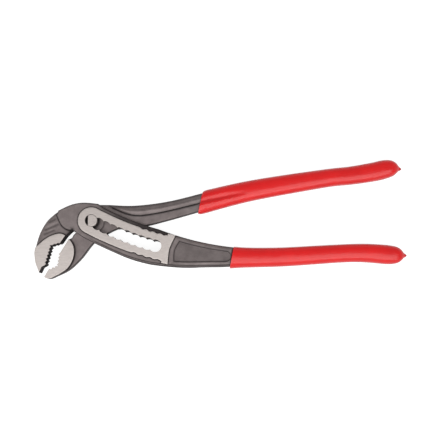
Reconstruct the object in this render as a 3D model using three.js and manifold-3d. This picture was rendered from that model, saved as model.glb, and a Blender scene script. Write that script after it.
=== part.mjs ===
// Slim box-joint water pump pliers: two forged legs, one joint pin and two dipped grips.
// The origin is on the pin's axis, level with the ground face that the tool lies on.
// X runs from the jaws to the handles, Z through the tool's thickness.
import * as THREE from "three";
import { mergeVertices } from "three/addons/utils/BufferGeometryUtils.js";
import Module from "manifold-3d";

const wasm = await Module();
wasm.setup();

// Joint pin and scalloped slot, in millimetres and degrees.
const PIN_RADIUS = 4.05;
const PIN_FLAT = 2.2; // from the pin's axis to its flat on the jaws' side
const PIN_FIT = 0.12; // running clearance round the pin
const NOTCHES = 10;
const NOTCH_PITCH = 5.18; // along the slot's centreline
const SLOT_RADIUS = 205.6; // the slot is an arc about a point far above it
const SLOT_TILT = 28.06; // slope of the slot at its first notch

// Box: two cheeks with a raised, ground plate on each.
const BOX_THICKNESS = 15; // over both plates
const PLATE_RISE = 0.8;
const PLATE_HALF_WIDTH = 8.9;
const PLATE_WAVE = 0.7; // depth of the scallops in the plate's edges
const PLATE_WAVES = 4;
const PLATE_BAR = 6.6; // cross bar of the plate past the slot's end
const PLATE_EAR = 1.2; // the bar's ends stand out past the plate's edges
const EAR_LENGTH = 4.2;
const BAR_HOLLOW = 1; // the bar's edge is hollow towards the handle
const BAR_LEAN = 1.2; // and leans a little
const CHEEK_UPPER = 11.5; // from the slot's centreline to the cheek's edges
const CHEEK_LOWER = 12.5;
const CHEEK_ROUND = 0.7;
const NECK_ROOM = 25; // the box runs on past the last notch, for the jaw's neck
const HANDLE_ROOM = 43; // and further on its upper side, for the handle

// Legs.
const LEG_THICKNESS = 6.4; // inner leg where it passes through the box
const SIDE_CLEARANCE = 0.15;
const HUB_RADIUS = 11.2;
const HUB_CLEARANCE = 0.4;
const HUB_TO_JAW = 214; // direction in which the hub's round runs into the jaw
const ROOM_TO_THROAT = 204; // and the box's inside into the throat
const HUB_SLOPE = 2; // slope of the inner leg's upper edge beside the hub
const OPENING = 58; // the handles open this far from the pose modelled
const RIB_RISE = 1.3;
const RIB_INSET = 0.5; // rib's upper edge in from the handle's edge
const RIB_ROUND = 0.5;
const SHANK_START = 46; // along the slot, where the slotted leg starts to narrow
const SHANK_END = 100; // and where its grip covers it
const SHANK_UPPER = 6.1; // half widths of the shank at its end
const SHANK_LOWER = 6.1;
const SHANK_THICKNESS = 9;
const PANEL_START = 61;
const PANEL_END = 96;
const PANEL_RIM = 3.5;
const PANEL_DEPTH = 0.5;

// Jaws.
const JAW_THICKNESS = 10.4;
const NECK_THICKNESS = 8;
const NECK_ROUND = 1.2;
const TOOTH_PITCH = 1.5;
const TOOTH_DEPTH = 0.7;

// Grips.
const UPPER_REACH = 211.2; // from the pin's axis to the grips' ends
const LOWER_REACH = 213.6;
const GRIP_WIDTH = 14.7; // at the lip
const GRIP_WAIST = 12.4;
const GRIP_BULB = 13.2;
const GRIP_THICKNESS = 10.6;
const GRIP_WALL = 1.2;
const GRIP_GAP = 0.3; // between sleeve and tang
const GRIP_SQUARE = 2.5; // exponent of the section, where 2 is an ellipse
const DOME_LENGTH = 12.5;
const DOME_POINT = 0.6; // exponent of the dome, where 0.5 is round and 1 is pointed
const NIB_LENGTH = 1.5;
const NIB_RADIUS = 0.8;
const DOME_SOLID = 8; // the tang stops this far before the dome
const UPPER_LIP_SLANT = 26;
const LOWER_LIP_SLANT = 8;

// Outlines of the forgings that follow no formula, as points from the pin's axis.
const HEAD_TOP = [[4.4, 10.6], [-5.9, 12.1], [-14.1, 10.6], [-22.2, 6.7]];
const HOOK_BACK = [
  [-30.9, -1.3], [-35, -8.3], [-37.6, -16.3], [-38.3, -21.9], [-37.4, -28.4], [-34.7, -35.1],
];
const HEAD_STEP = [[-23.7, 3.9], [-20.5, -2.8], [-17.4, -5.5], [-14.5, -6.5]];
const THROAT = [-12.8, -6.1];
const HOOK_PAD = [[-16.9, -10], [-21.4, -8.7], [-26, -9.7], [-31.4, -12.6], [-37.9, -18.4]];
const HOOK_ROOT = [[-12.8, -6], [-17.1, -10.2]];
const HOOK_TEETH = [[-19.9, -14.7], [-26.8, -17], [-31.1, -30.3]];
const HOOK_TIP = [[-32.9, -31.2], [-35.1, -35.9]];
const JAW_BACK = [[-31.4, -38.3], [-28, -38.8], [-22.2, -36.6], [-14.5, -32.3], [-6.6, -24.4], [1.4, -14.8]];
const JAW_PAD = [
  [-15.2, -12.4], [-12.6, -16], [-11.6, -20.9], [-12.9, -27.2], [-17, -33.1], [-28, -38.4], [-31.4, -38.3],
];
const JAW_ROOT = [[-11.2, -6.8], [-11.6, -8.6], [-13.2, -11.4], [-15.4, -12.5]];
const JAW_TEETH = [[-21, -21.4], [-22.8, -30.7], [-28.8, -33.5]];
const JAW_TIP = [-31.8, -38.7];
const HANDLE_UNDER = [[10.8, -8.4], [19.8, -4.6], [38.3, -1.8], [50.7, 0.1], [58.7, 2.4], [81.7, 9.3]];
const HANDLE_TOP = [[81.8, 20.8], [58.9, 14.7], [42.7, 11.7], [26.6, 10.4], [12, 11.1]];
const RIDGE = [[14.1, 9.1], [23.1, 5.3], [31.7, 4], [41.9, 5.3], [54.2, 8.1], [81.9, 15.1]];
const UPPER_GRIP_LINE = [
  [73.5, 12.7], [107.7, 21.1], [156.8, 29.4], [177, 31.9], [199, 35.8], [UPPER_REACH, 36.3],
];
const LOWER_GRIP_LINE = [[94.8, -24.6], [128.5, -24.2], [177, -21.5], [203, -23], [LOWER_REACH, -23.4]];
const HOOK_CLEAR = [[-30, -44], [-2, -34]]; // far corners of what the bites cut away
const JAW_CLEAR = [[-40, -40], [-40, -6]];
const HOOK_FRONT = [[-24, -30], [-12.8, -9]]; // jaw sides before the bites are cut
const JAW_FRONT = [[-20, -17], [-29, -30], [-32, -37]];

const CHEEK_THICKNESS = BOX_THICKNESS - 2 * PLATE_RISE;
const NOTCH_RADIUS = PIN_RADIUS + PIN_FIT;
const TRAVEL = (NOTCHES - 1) * NOTCH_PITCH;
const SLOT_END = TRAVEL + NOTCH_RADIUS;
const TILT = THREE.MathUtils.degToRad(SLOT_TILT);
const SLOT_CENTRE = new THREE.Vector2(Math.sin(TILT), Math.cos(TILT)).multiplyScalar(SLOT_RADIUS);
const CUT_PAST = 2 * BOX_THICKNESS; // cutting tools reach this far past what they cut

const FORGED = { color: 0x5c5755, roughness: 0.55, metalness: 0.8 };
const GROUND = { color: 0xc4bbb6, roughness: 0.35, metalness: 0.9 };
const DIPPED = { color: 0xe02a2c, roughness: 0.35, metalness: 0 };

const direction = (angle) => new THREE.Vector2(Math.cos(angle), Math.sin(angle));
const vectors = (points) => points.map(([x, y]) => new THREE.Vector2(x, y));
const smooth = (points, steps) => new THREE.SplineCurve(vectors(points)).getPoints(steps);

// Point by its distance along the slot's arc from the pin and its distance out from that arc.
function arcPoint(along, out) {
  const angle = along / SLOT_RADIUS - Math.PI / 2 - TILT;
  return direction(angle).multiplyScalar(SLOT_RADIUS + out).add(SLOT_CENTRE);
}

// Points along the slot's arc, with the distance out worked out from the distance along.
function arcRun(from, to, steps, out) {
  return Array.from({ length: steps + 1 }, (_, i) => {
    const along = from + ((to - from) * i) / steps;
    return arcPoint(along, out(along));
  });
}

// Arc about the pin's axis between two directions in degrees.
function pinArc(radius, from, to, steps) {
  const [start, end] = [from, to].map(THREE.MathUtils.degToRad);
  return new THREE.EllipseCurve(0, 0, radius, radius, start, end).getPoints(steps);
}

// Pointed teeth along a row of straight sides, on the left of the way along them or the right.
function teeth(sides, depth) {
  const corners = vectors(sides);
  const points = corners.slice(0, -1).flatMap((from, i) => {
    const line = corners[i + 1].clone().sub(from);
    const out = new THREE.Vector2(-line.y, line.x).normalize().multiplyScalar(depth);
    const halves = 2 * Math.max(1, Math.round(line.length() / TOOTH_PITCH));
    return Array.from({ length: halves }, (_, h) => {
      const point = from.clone().addScaledVector(line, h / halves);
      return h % 2 ? point.add(out) : point;
    });
  });
  return [...points, corners.at(-1)];
}

// A geometry as a solid that can be joined and cut.
function solid(geometry) {
  const bare = geometry.clone().deleteAttribute("normal").deleteAttribute("uv");
  const merged = mergeVertices(bare, 1e-4);
  const vertProperties = merged.getAttribute("position").array;
  const triVerts = new Uint32Array(merged.index.array);
  return new wasm.Manifold(new wasm.Mesh({ numProp: 3, vertProperties, triVerts }));
}

// Flat piece with a plan outline, centred on the tool's middle plane, its rims rounded if asked.
function plate(outline, thickness, round = 0) {
  const geometry = new THREE.ExtrudeGeometry(new THREE.Shape(outline), {
    depth: thickness - 2 * round,
    bevelEnabled: round > 0,
    bevelThickness: round,
    bevelSize: round,
    bevelOffset: -round,
    bevelSegments: 2,
  });
  return solid(geometry.translate(0, 0, round - thickness / 2));
}

function upright(radius, height, at = new THREE.Vector2()) {
  const geometry = new THREE.CylinderGeometry(radius, radius, height, 32);
  return solid(geometry.rotateX(Math.PI / 2).translate(at.x, at.y, 0));
}

function block(width, depth, height, at, turn) {
  const geometry = new THREE.BoxGeometry(width, depth, height).rotateZ(turn);
  return solid(geometry.translate(at.x, at.y, 0));
}

function piece(name, made, look) {
  const { vertProperties, triVerts } = made.getMesh();
  const geometry = new THREE.BufferGeometry();
  geometry.setAttribute("position", new THREE.BufferAttribute(vertProperties, 3));
  geometry.setIndex(new THREE.BufferAttribute(triVerts, 1));
  geometry.computeVertexNormals();
  const mesh = new THREE.Mesh(geometry, new THREE.MeshStandardMaterial(look));
  mesh.name = name;
  return mesh;
}

// Centreline of a handle under its grip, with the grip's half width along it.
function gripSpine(points) {
  const curve = new THREE.SplineCurve(vectors(points));
  const length = curve.getLength();
  const domeStart = length - DOME_LENGTH - NIB_LENGTH;
  const tapered = [0, 1 / 3, 2 / 3, 1].map((share) => THREE.MathUtils.lerp(GRIP_WIDTH, GRIP_WAIST, share));
  const widths = [...tapered, GRIP_BULB];
  const halves = new THREE.SplineCurve(widths.map((width, i) => new THREE.Vector2(i, width / 2)));
  return { curve, length, domeStart, halfWidth: (share) => halves.getPoint(share).y };
}

// Ring of points across a spine: a squared ellipse.
function ring(spine, distance, halfWidth, halfThickness) {
  const share = THREE.MathUtils.clamp(distance / spine.length, 0, 1);
  const ahead = spine.curve.getTangentAt(share);
  const centre = spine.curve.getPointAt(share).addScaledVector(ahead, distance - share * spine.length);
  const squared = (value) => Math.sign(value) * Math.abs(value) ** (2 / GRIP_SQUARE);
  const sides = 20;
  return Array.from({ length: sides }, (_, i) => {
    const turn = (2 * Math.PI * i) / sides;
    const across = halfWidth * squared(Math.cos(turn));
    const up = halfThickness * squared(Math.sin(turn));
    return new THREE.Vector3(centre.x - ahead.y * across, centre.y + ahead.x * across, up);
  });
}

// Closed skin over a row of rings, with a flat cap at each end.
function loft(rings) {
  const sides = rings[0].length;
  const last = (rings.length - 1) * sides;
  const caps = [rings[0], rings.at(-1)].map((end) =>
    end.reduce((sum, point) => sum.add(point), new THREE.Vector3()).divideScalar(sides),
  );
  const firstCap = last + sides;
  const index = [];
  for (let side = 0; side < sides; side++) {
    const next = (side + 1) % sides;
    for (let row = 0; row < last; row += sides) {
      const [a, b, c, d] = [row + side, row + next, row + sides + next, row + sides + side];
      index.push(a, b, c, a, c, d);
    }
    index.push(firstCap, next, side, firstCap + 1, last + side, last + next);
  }
  const geometry = new THREE.BufferGeometry().setFromPoints([...rings.flat(), ...caps]);
  return solid(geometry.setIndex(index));
}

// Rings of a grip's body between two distances from its lip, drawn in by an inset.
function gripBody(spine, from, to, inset) {
  const steps = 11;
  return Array.from({ length: steps + 1 }, (_, i) => {
    const distance = from + ((to - from) * i) / steps;
    const share = THREE.MathUtils.clamp(distance / spine.domeStart, 0, 1);
    return ring(spine, distance, spine.halfWidth(share) - inset, GRIP_THICKNESS / 2 - inset);
  });
}

// Rings of the dome and the drip nib that close a dipped grip.
function gripEnd(spine) {
  const steps = 7;
  const dome = Array.from({ length: steps }, (_, i) => {
    const share = Math.sin(((i + 1) / steps) * (Math.PI / 2));
    const half = (full) => THREE.MathUtils.lerp(NIB_RADIUS, full / 2, (1 - share ** 2) ** DOME_POINT);
    return ring(spine, spine.domeStart + DOME_LENGTH * share, half(GRIP_BULB), half(GRIP_THICKNESS));
  });
  return [...dome, ring(spine, spine.length, NIB_RADIUS / 2, NIB_RADIUS / 2)];
}

// Everything on the jaws' side of a grip's slanted lip, short of it by a gap.
function beforeLip(spine, lipSlant, gap) {
  const size = 4 * spine.length;
  const turn = spine.curve.getTangentAt(0).angle() - THREE.MathUtils.degToRad(lipSlant);
  const middle = direction(turn).multiplyScalar(-size / 2 - gap).add(spine.curve.getPointAt(0));
  return block(size, size, CUT_PAST, middle, turn);
}

function tang(spine, lipSlant) {
  const core = loft(gripBody(spine, -GRIP_WIDTH, spine.domeStart - DOME_SOLID, GRIP_WALL + GRIP_GAP));
  return core.subtract(beforeLip(spine, lipSlant, GRIP_WALL));
}

function grip(spine, lipSlant) {
  const skin = loft([...gripBody(spine, -GRIP_WIDTH, spine.domeStart, 0), ...gripEnd(spine)]);
  const bore = loft(gripBody(spine, -2 * GRIP_WIDTH, spine.domeStart - DOME_SOLID + GRIP_GAP, GRIP_WALL));
  return skin.subtract(bore).subtract(beforeLip(spine, lipSlant, 0));
}

// Edge of the slotted leg: parallel to the slot along the box, then drawn in to the shank.
function legEdge(boxHalf, shankHalf) {
  return (along) => THREE.MathUtils.mapLinear(
    THREE.MathUtils.clamp(along, SHANK_START, SHANK_END), SHANK_START, SHANK_END, boxHalf, shankHalf,
  );
}
const lowerEdge = legEdge(CHEEK_LOWER, SHANK_LOWER);
const upperEdge = legEdge(-CHEEK_UPPER, -SHANK_UPPER);

// Scalloped slot: notches of the pin's size that run into one another.
function slot() {
  const notches = Array.from({ length: NOTCHES }, (_, notch) =>
    upright(NOTCH_RADIUS, CUT_PAST, arcPoint(notch * NOTCH_PITCH, 0)),
  );
  return notches.reduce((joined, notch) => joined.add(notch));
}

// Hollow line across the slotted leg, from its lower side to its upper.
function acrossLeg(along, lower, upper) {
  const line = [arcPoint(along, lower), arcPoint(along - BAR_HOLLOW, 0), arcPoint(along + BAR_LEAN, upper)];
  return new THREE.SplineCurve(line).getPoints(8);
}

// Ground plate: round about the pin, scalloped towards the handle, with an eared cross bar.
function plateOutline() {
  const barEnd = SLOT_END + PLATE_BAR;
  const earStart = barEnd - EAR_LENGTH;
  const waveStart = earStart - PLATE_WAVES * NOTCH_PITCH;
  const edge = (along) => {
    const phase = (2 * Math.PI * Math.max(0, along - waveStart)) / NOTCH_PITCH;
    return PLATE_HALF_WIDTH - (PLATE_WAVE / 2) * (1 - Math.cos(phase));
  };
  const ear = PLATE_HALF_WIDTH + PLATE_EAR;
  const plain = arcRun(0, waveStart, 10, edge).slice(0, -1);
  const lower = [...plain, ...arcRun(waveStart, earStart, 6 * PLATE_WAVES, edge)];
  const bar = acrossLeg(barEnd, ear, -ear);
  const upper = [
    ...arcRun(earStart, waveStart, 6 * PLATE_WAVES, (along) => -edge(along)),
    ...arcRun(waveStart, 0, 10, (along) => -edge(along)).slice(1),
  ];
  const end = pinArc(PLATE_HALF_WIDTH, 90 - SLOT_TILT, 270 - SLOT_TILT, 18).slice(1, -1);
  return [...lower, arcPoint(earStart, ear), ...bar, arcPoint(earStart, -ear), ...upper, ...end];
}

// Room between the cheeks: open above and below, closed at the head and at the handle.
function boxRoom() {
  const head = pinArc(HUB_RADIUS + HUB_CLEARANCE, 90 + OPENING, ROOM_TO_THROAT, 8);
  const opened = direction(THREE.MathUtils.degToRad(OPENING - HUB_SLOPE));
  const above = head[0].clone().addScaledVector(opened, HUB_RADIUS);
  const lower = arcRun(HUB_RADIUS, TRAVEL + NECK_ROOM, 12, () => CUT_PAST);
  const upper = arcRun(TRAVEL + HANDLE_ROOM, HUB_RADIUS, 12, () => -CUT_PAST);
  const outline = [...head, ...vectors([THROAT]), ...lower, ...upper, above];
  return plate(outline, LEG_THICKNESS + 2 * SIDE_CLEARANCE);
}

// The slotted leg's thickness seen from its edge: even over the box, thinning to the shank.
function legSide(inset) {
  const boxHalf = CHEEK_THICKNESS / 2 - inset;
  const shankHalf = SHANK_THICKNESS / 2 - inset;
  const start = arcPoint(SLOT_END + PLATE_BAR, 0).x;
  const end = arcPoint(SHANK_END, 0).x;
  const half = [[-SLOT_RADIUS, boxHalf], [start, boxHalf], [end, shankHalf], [SLOT_RADIUS, shankHalf]];
  const outline = [...half, ...half.toReversed().map(([x, z]) => [x, -z])];
  const depth = 2 * SLOT_RADIUS;
  const shape = new THREE.Shape(vectors(outline));
  const geometry = new THREE.ExtrudeGeometry(shape, { depth, bevelEnabled: false });
  return solid(geometry.rotateX(Math.PI / 2).translate(0, depth / 2, 0));
}

// Recessed panel on the face of the slotted leg's handle.
function panel() {
  const [lower, upper] = [(along) => lowerEdge(along) - PANEL_RIM, (along) => upperEdge(along) + PANEL_RIM];
  const bar = acrossLeg(PANEL_START, lower(PANEL_START), upper(PANEL_START));
  const outline = [
    ...arcRun(PANEL_END, PANEL_START, 6, lower),
    ...bar.slice(1),
    ...arcRun(PANEL_START, PANEL_END, 6, upper).slice(1),
  ];
  const face = plate(outline, BOX_THICKNESS).translate([0, 0, BOX_THICKNESS / 2]);
  return face.subtract(legSide(PANEL_DEPTH));
}

function slottedLeg(spine) {
  const lower = arcRun(0, SHANK_END, 24, lowerEdge);
  const upper = arcRun(SHANK_END, NOTCH_RADIUS, 24, upperEdge);
  const head = [...smooth(HEAD_TOP, 10), ...smooth(HEAD_STEP, 8), ...vectors([THROAT])];
  const leg = plate([...lower, ...upper, ...head], CHEEK_THICKNESS, CHEEK_ROUND);
  const shank = leg.intersect(legSide(0)).intersect(beforeLip(spine, LOWER_LIP_SLANT, GRIP_GAP));
  const neckLine = [...smooth([...HEAD_TOP.slice(1), ...HOOK_BACK], 28), ...vectors(HOOK_FRONT)];
  const neck = plate(neckLine, NECK_THICKNESS, NECK_ROUND);
  const pad = plate([...smooth(HOOK_PAD, 14), ...smooth(HOOK_BACK.slice(3), 8)], JAW_THICKNESS);
  const plates = plate(plateOutline(), BOX_THICKNESS);
  const hookTeeth = teeth(HOOK_TEETH, TOOTH_DEPTH);
  const bite = [...vectors(HOOK_ROOT), ...hookTeeth, ...vectors([...HOOK_TIP, ...HOOK_CLEAR])];
  const forged = shank.add(neck).add(pad).add(plates).add(tang(spine, LOWER_LIP_SLANT));
  return forged.subtract(plate(bite, CUT_PAST)).subtract(boxRoom()).subtract(slot()).subtract(panel());
}

function innerLeg(spine) {
  const under = smooth([...JAW_BACK, ...HANDLE_UNDER], 48);
  const top = smooth(HANDLE_TOP, 16);
  const hub = pinArc(HUB_RADIUS, 90 - 3 * HUB_SLOPE, HUB_TO_JAW, 14);
  const front = vectors(JAW_FRONT);
  const leg = plate([...under, ...top, ...hub, ...front], LEG_THICKNESS);
  const ribTop = smooth(HANDLE_TOP.map(([x, y]) => [x, y - RIB_INSET]), 16);
  const rib = plate([...smooth(RIDGE, 20), ...ribTop], LEG_THICKNESS + 2 * RIB_RISE, RIB_ROUND);
  const pad = plate([...smooth(JAW_PAD, 20), ...front.toReversed()], JAW_THICKNESS);
  const jawTeeth = teeth(JAW_TEETH, -TOOTH_DEPTH);
  const bite = [...vectors(JAW_ROOT), ...jawTeeth, ...vectors([JAW_TIP, ...JAW_CLEAR])];
  const handle = leg.add(rib).intersect(beforeLip(spine, UPPER_LIP_SLANT, GRIP_GAP));
  const forged = handle.add(pad).add(tang(spine, UPPER_LIP_SLANT));
  return forged.subtract(plate(bite, CUT_PAST)).subtract(upright(NOTCH_RADIUS, CUT_PAST));
}

// Joint pin: round in the inner leg, with flats on its ends, which run in the slot.
function jointPin() {
  const neckHalf = Math.sqrt(NOTCH_RADIUS ** 2 - (NOTCH_PITCH / 2) ** 2) - PIN_FIT;
  const guides = block(CUT_PAST, 2 * neckHalf, CUT_PAST, new THREE.Vector2(), -TILT);
  const flat = block(CUT_PAST, CUT_PAST, CUT_PAST, new THREE.Vector2(CUT_PAST / 2 - PIN_FLAT, 0), 0);
  const ends = upright(PIN_RADIUS, BOX_THICKNESS).intersect(guides).intersect(flat);
  return upright(PIN_RADIUS, LEG_THICKNESS).add(ends);
}

const lowerSpine = gripSpine(LOWER_GRIP_LINE);
const upperSpine = gripSpine(UPPER_GRIP_LINE);

const tool = new THREE.Group();
tool.position.z = BOX_THICKNESS / 2;
tool.add(piece("slotted_leg", slottedLeg(lowerSpine), FORGED));
tool.add(piece("lower_grip", grip(lowerSpine, LOWER_LIP_SLANT), DIPPED));
tool.add(piece("joint_pin", jointPin(), GROUND));
tool.add(piece("inner_leg", innerLeg(upperSpine), FORGED));
tool.add(piece("upper_grip", grip(upperSpine, UPPER_LIP_SLANT), DIPPED));

const pliers = new THREE.Group();
pliers.add(tool);

export default pliers;
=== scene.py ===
"""Water pump pliers in a plain studio: forged legs, ground plates, a flush joint pin and dipped grips."""
import math

import bpy
import numpy as np
from mathutils import Matrix, Vector
from mathutils.geometry import delaunay_2d_cdt


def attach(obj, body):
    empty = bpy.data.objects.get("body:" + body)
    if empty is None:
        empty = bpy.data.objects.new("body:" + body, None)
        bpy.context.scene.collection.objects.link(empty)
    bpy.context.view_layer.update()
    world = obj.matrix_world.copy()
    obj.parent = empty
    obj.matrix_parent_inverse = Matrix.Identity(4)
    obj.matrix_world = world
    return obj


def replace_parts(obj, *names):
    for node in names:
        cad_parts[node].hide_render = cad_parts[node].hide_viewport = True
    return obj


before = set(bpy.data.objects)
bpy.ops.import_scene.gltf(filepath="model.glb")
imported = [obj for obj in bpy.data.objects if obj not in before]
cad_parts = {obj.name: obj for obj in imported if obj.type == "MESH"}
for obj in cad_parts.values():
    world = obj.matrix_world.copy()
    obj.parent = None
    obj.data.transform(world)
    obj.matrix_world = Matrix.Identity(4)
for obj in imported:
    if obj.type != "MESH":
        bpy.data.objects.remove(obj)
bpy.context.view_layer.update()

# Sizes in millimetres and degrees, as in the solids. Teeth, lips and grip ends are finer here.
MID = 7.5  # height of the tool's middle plane
PIN_RADIUS = 4.05
PIN_FLAT = 2.2
PIN_CHAMFER = 0.25
PIN_CHAMFER_HEIGHT = 0.2
NOTCH_RADIUS = 4.17
NOTCHES = 10
NOTCH_PITCH = 5.18
SLOT_RADIUS = 205.6
SLOT_TILT = 28.06
PLATE_HALF_WIDTH = 8.9
PLATE_WAVE = 0.7
PLATE_WAVES = 4
PLATE_BAR = 6.6
PLATE_EAR = 1.2
EAR_LENGTH = 4.2
BAR_HOLLOW = 1
BAR_LEAN = 1.2
CHEEK_UPPER = 11.5
CHEEK_LOWER = 12.5
NECK_ROOM = 25
HANDLE_ROOM = 43
ROOM_HALF = 3.35
ROOM_REACH = 30  # the room opens this far to both sides of the slot
ROOM_TURN = 204  # where the round of the room ends, and that of the hub
HUB_TURN = 214
HUB_RADIUS = 11.2
HUB_CLEARANCE = 0.4
HUB_SLOPE = 2
OPENING = 58
SHANK_START = 46
SHANK_END = 100
SHANK_HALF = 6.4
LOWER_SWAY = 0.6  # how far the leg's lower side swells under the box, and draws in before the grip
LOWER_BULGE = (33, 11)
LOWER_HOLLOW = (82, 11)
PANEL_START = 61
PANEL_END = 96
PANEL_RIM = 3.5
PANEL_ROUND = 2  # how far the panel's end bulges, and half the width of the bulge
PANEL_ROUND_HALF = 1.3
TOOTH_PITCH = 2.4
TOOTH_TIP = 0.7  # how far the teeth stand out of the jaw's line, and are cut into it
LOW_TOOTH_TIP = 0.35
TOOTH_ROOT = 0.25
TOOTH_RIM = 0.3  # dark edge along the hook's teeth, left forged, not ground, and darkened with painted shade
PLATE_HEIGHT = 7.5  # heights above the middle plane
CHEEK_HEIGHT = 6.7
SHANK_HEIGHT = 4.5
LEG_HEIGHT = 3.2
RIB_HEIGHT = 4.5
NECK_HEIGHT = 4.0
PAD_HEIGHT = 5.2
GROUND_RIM = 0.03  # how far the edges are rounded over
BOX_RIM = 1.1
SHANK_RIM = 2.4
RIM_CHANGE = np.array([-10, 15])  # stretch about the plate's end over which one rim turns into the other
NECK_RIM = 2.2
LEG_RIM = 0.9
PANEL_SINK = 0.5  # depth of the panel, and the width of its slope
PANEL_SLOPE = 0.5
FLOW_SINK = 0.3
FLOW_WIDTH = 0.75
RIB_FOOT = 0.1  # share of the rib's height at its edges
RIB_CROWN = 0.36  # share of the rib's width at which it is highest
RIB_STEEP = 0.9  # powers that shape the rib's two flanks
RIB_FALL = 1.2
UPPER_GRIP_WIDTH = 15.2
LOWER_GRIP_WIDTH = 13.5
GRIP_WAIST = 12.4
GRIP_BULB = 13.2
GRIP_THICKNESS = 10.6
GRIP_SQUARE = 2.5
NIB_LENGTH = 1
NIB_HALF = 1.2
TUCK = 1.5  # the legs run this far under the grips' lips
UPPER_LIP_SLANT = 26
LOWER_LIP_SLANT = 11

HEAD_TOP = [(4.4, 11.5), (-5.9, 12.3), (-14.1, 10.8), (-22.4, 6.95)]
HOOK_BACK = [
    (-27.1, 3.5), (-31.3, -0.95), (-35.2, -8.2), (-37.6, -16.3), (-38.3, -21.9), (-37.4, -28.4),
    (-34.7, -35.1),
]
HEAD_STEP = [(-23.7, 3.9), (-20.5, -2.8), (-17.4, -5.5), (-14.5, -6.5)]
THROAT = (-12.8, -6.1)
HOOK_PAD = [(-17.7, -9.8), (-21.4, -8.7), (-26, -9.7), (-31.4, -12.6), (-37.9, -18.4)]
PAD_FRONT = [(-30, -33), (-20.7, -14.3)]
HOOK_ROOT = [(-12.8, -6), (-17.1, -10.2)]
HOOK_TEETH = [(-19.9, -14.7), (-27.4, -16.8), (-31.1, -30.3)]
HOOK_TIP = [(-32.9, -31.2), (-35.1, -35.9)]
JAW_BACK = [(-30.4, -38.4), (-28, -38.8), (-22.1, -36.8), (-14.3, -32.6), (-6.3, -24.75), (1.4, -14.9)]
JAW_PAD = [
    (-15.2, -12.4), (-12.6, -16), (-11.6, -20.9), (-12.9, -27.2), (-17, -33.1), (-25.4, -38), (-28.6, -39),
    (-30.3, -38.7), (-31.6, -37.8),
]
JAW_ROOT = [(-12, -6.8), (-12.1, -8.7), (-13.2, -11.4), (-15.4, -12.5)]
JAW_TEETH = [(-21, -21.4), (-22.3, -30.6), (-28.8, -33.5)]
JAW_TIP = (-31.8, -38.7)
HANDLE_UNDER = [(10.8, -8.4), (19.8, -4.6), (30, -3.9), (38.3, -2.8), (50.7, 0.4), (58.7, 2.6), (81.7, 9.2)]
HANDLE_TOP = [(81.8, 21.15), (58.9, 15.1), (42.7, 12.05), (26.6, 10.55), (12, 11.1)]
RIDGE = [(14.1, 9.1), (23.1, 5.3), (31.7, 4), (41.9, 5.2), (54.2, 7.7), (81.9, 14.6)]
RIB_INSET = 0.5  # the rib stops short of the handle's upper edge
# Corners that close the outlines where the bite cuts them off.
NECK_FRONT = [(-24, -30), (-12.8, -9)]
JAW_FRONT = [(-20, -17), (-29, -30), (-32, -37)]
HOOK_GAP = [(-30, -44), (-2, -34)]
JAW_GAP = [(-40, -40), (-40, -6)]
# Shallow flow lines on the hook's neck.
FLOW = [[(-24.8, 1.5), (-28.6, -0.7)], [(-22.8, -2.1), (-31.2, -5.8)], [(-25.6, -6.2), (-31.7, -8.8)]]
UPPER_GRIP_LINE = [
    (73.5, 12.7), (107.7, 21.1), (156.8, 29.4), (177, 31.75), (192, 34.2), (201, 36.2), (206, 36.5),
    (211.2, 36.1),
]
LOWER_GRIP_LINE = [(94.8, -24.6), (128.5, -24.2), (177, -21.5), (203, -22.75), (213.6, -23.25)]
# Half widths of the grips' ends, by their distance from the nib's tip.
GRIP_END = [
    (14, 6.6), (11, 6.4), (9, 6.15), (7, 5.7), (5.5, 5.1), (4.3, 4.3), (3.5, 3.6), (2.6, 2.6), (1.9, 1.75),
    (1.05, 1.17), (0.4, 0.7), (0, 0.35),
]

WALL = 0.08  # plan width of a steep step
GRID = 0.6  # spacing of the points over a forging's faces, and of their rows as a share of it
GRID_ROWS = 0.866
EDGE_STEP = 0.9  # longest stretches of the outlines
FINE_STEP = 0.7
RIB_STEP = 0.8
ROOM_STEP = 2
BELOW = -20.0  # height given to what lies outside a raised region
SHARP = 34  # edges steeper than this stay sharp
TILT = math.radians(SLOT_TILT)
SLOT_CENTRE = SLOT_RADIUS * np.array([math.sin(TILT), math.cos(TILT)])
TRAVEL = (NOTCHES - 1) * NOTCH_PITCH
SLOT_END = TRAVEL + NOTCH_RADIUS


def spline(points, steps):
    """Points on a smooth curve through the given ones."""
    points = np.array(points, float)
    last = len(points) - 1
    place = np.linspace(0, last, steps + 1)
    at = np.minimum(place.astype(int), last - 1)
    t = (place - at)[:, None]
    p0, p1, p2, p3 = (points[np.clip(at + k, 0, last)] for k in (-1, 0, 1, 2))
    v0, v1 = (p2 - p0) / 2, (p3 - p1) / 2
    return (2 * p1 - 2 * p2 + v0 + v1) * t**3 + (3 * p2 - 3 * p1 - 2 * v0 - v1) * t**2 + v0 * t + p1


def arc_run(start, end, steps, out):
    """Points along the slot's arc, at a distance out from it."""
    along = np.linspace(start, end, steps + 1)
    angle = along / SLOT_RADIUS - math.pi / 2 - TILT
    reach = SLOT_RADIUS + np.array([out(a) for a in along])
    return SLOT_CENTRE + reach[:, None] * np.stack([np.cos(angle), np.sin(angle)], 1)


def arc_point(along, out):
    return arc_run(along, along, 0, lambda _: out)[0]


def pin_arc(radius, start, end, steps, centre=(0, 0)):
    angle = np.radians(np.linspace(start, end, steps + 1))
    return np.array(centre) + radius * np.stack([np.cos(angle), np.sin(angle)], 1)


def circle(radius, centre):
    return pin_arc(radius, 0, 360, 56, centre)[:-1]


def join(*runs):
    """One closed outline out of runs of points and single points."""
    return np.concatenate([np.atleast_2d(np.array(run, float)) for run in runs])


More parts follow.
